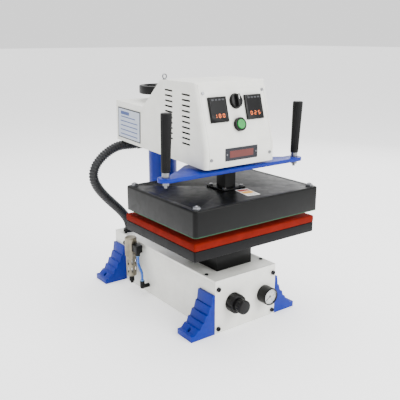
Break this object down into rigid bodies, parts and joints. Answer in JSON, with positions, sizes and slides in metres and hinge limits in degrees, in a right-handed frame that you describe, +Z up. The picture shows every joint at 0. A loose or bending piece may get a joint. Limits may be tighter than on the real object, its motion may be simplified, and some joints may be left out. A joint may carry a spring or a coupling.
{
  "type": "swing-away heat press",
  "caption": "Air-operated swing-away heat press: a flat heated platen swings over a padded lower platen that an air cylinder in the flared-foot base lifts against it.",
  "frame": {"origin": "centre of the base's underside, on the surface it stands on", "axes": "+X to the machine's right seen from its front, +Y to its back, +Z up"},
  "size_m": [0.5938, 0.731, 0.8307],
  "materials": {
    "sheet_white": "satin grey-white powder coat",
    "blue_paint": "royal blue gloss enamel",
    "black_paint": "satin black powder coat",
    "bare_aluminium": "machined",
    "dark_aluminium": "black anodised",
    "bright_steel": "machined",
    "chromed_steel": "polished",
    "black_steel": "black oxide",
    "bronze": "plain",
    "silicone_red": "matt sponge",
    "silicone_green": "matt",
    "mineral_wool": "matt",
    "black_plastic": "moulded",
    "grip_rubber": "fluted",
    "green_plastic": "gloss",
    "display_glass": "smoked",
    "clear_glass": "clear",
    "dial_white": "matt white with a printed scale",
    "plate_grey": "brushed",
    "tube_blue": "extruded polyurethane",
    "conduit_grey": "corrugated",
    "cast_silver": "die cast"
  },
  "bodies": {
    "root": {"base_tray": "sheet_white", "base_lid": "sheet_white", "front_plate": "sheet_white", "foot_front_left": "blue_paint", "foot_front_right": "blue_paint", "foot_rear_left": "blue_paint", "foot_rear_right": "blue_paint", "base_screws": "black_steel", "cylinder_barrel": "bare_aluminium", "cylinder_caps": "dark_aluminium", "guide_block": "black_paint", "guide_bushes": "bronze", "post": "blue_paint", "pivot_spindle": "bright_steel", "regulator_body": "black_plastic", "gauge_case": "black_plastic", "gauge_dial": "dial_white", "gauge_lens": "clear_glass", "filter_head": "cast_silver", "filter_guard": "cast_silver", "air_fittings": "black_plastic", "air_tube": "tube_blue", "power_inlet": "black_plastic", "air_valve": "black_plastic", "conduit_gland": "black_plastic", "conduit": "conduit_grey"},
    "press_table": {"piston_rod": "chromed_steel", "guide_rods": "chromed_steel", "table_plate": "black_paint", "table_bolts": "bright_steel", "lower_platen": "dark_aluminium", "silicone_pad": "silicone_red"},
    "head": {"pivot_bushes": "bronze", "swing_arm": "black_paint", "column": "black_paint", "column_collar": "black_paint", "heat_platen": "bare_aluminium", "edge_gasket": "silicone_green", "heating_element": "bright_steel", "insulation": "mineral_wool", "upper_cover": "black_paint", "head_fasteners": "bright_steel", "head_shell": "sheet_white", "control_panel": "sheet_white", "head_floor": "sheet_white", "rear_box_lid": "sheet_white", "controllers": "black_plastic", "display_lenses": "display_glass", "switch_bodies": "black_plastic", "swing_bar": "blue_paint", "grips": "grip_rubber", "relays": "black_plastic", "conduit_elbow": "black_plastic", "rating_plates": "plate_grey"},
    "clamp_wheel": {"handwheel": "black_paint"},
    "pressure_knob": {"regulator_knob": "black_plastic"},
    "needle": {"gauge_needle": "black_steel"},
    "button": {"start_button": "green_plastic"},
    "selector": {"selector_knob": "black_plastic"},
    "drain": {"drain_knob": "black_plastic"}
  },
  "joints": [
    {"name": "head_swing", "type": "hinge", "parent": "root", "child": "head", "pos_m": [0, 0.173, 0.6], "axis": [0, 0, 1], "range_deg": [0, 90], "deforming": ["conduit"]},
    {"name": "press_lift", "type": "slide", "parent": "root", "child": "press_table", "axis": [0, 0, 1], "range_m": [0, 0.0205]},
    {"name": "clamp_turn", "type": "hinge", "parent": "root", "child": "clamp_wheel", "pos_m": [0, 0.173, 0.755], "axis": [0, 0, 1], "range_deg": [0, 180]},
    {"name": "regulator_turn", "type": "hinge", "parent": "root", "child": "pressure_knob", "pos_m": [-0.057, -0.377, 0.098], "axis": [0, -1, 0], "continuous": true},
    {"name": "needle_turn", "type": "hinge", "parent": "root", "child": "needle", "pos_m": [0.08, -0.362, 0.0905], "axis": [0, 1, 0], "range_deg": [0, 270]},
    {"name": "button_press", "type": "slide", "parent": "head", "child": "button", "axis": [0, 0.9641, -0.2656], "range_m": [0, 0.004], "stiffness_N_per_m": 500},
    {"name": "selector_turn", "type": "hinge", "parent": "head", "child": "selector", "pos_m": [0.003, -0.2634, 0.75149], "axis": [0, -0.9641, 0.2656], "range_deg": [-45, 45]},
    {"name": "drain_turn", "type": "hinge", "parent": "root", "child": "drain", "pos_m": [-0.166, 0.15, 0.045], "axis": [0, 0, 1], "range_deg": [0, 90]}
  ]
}
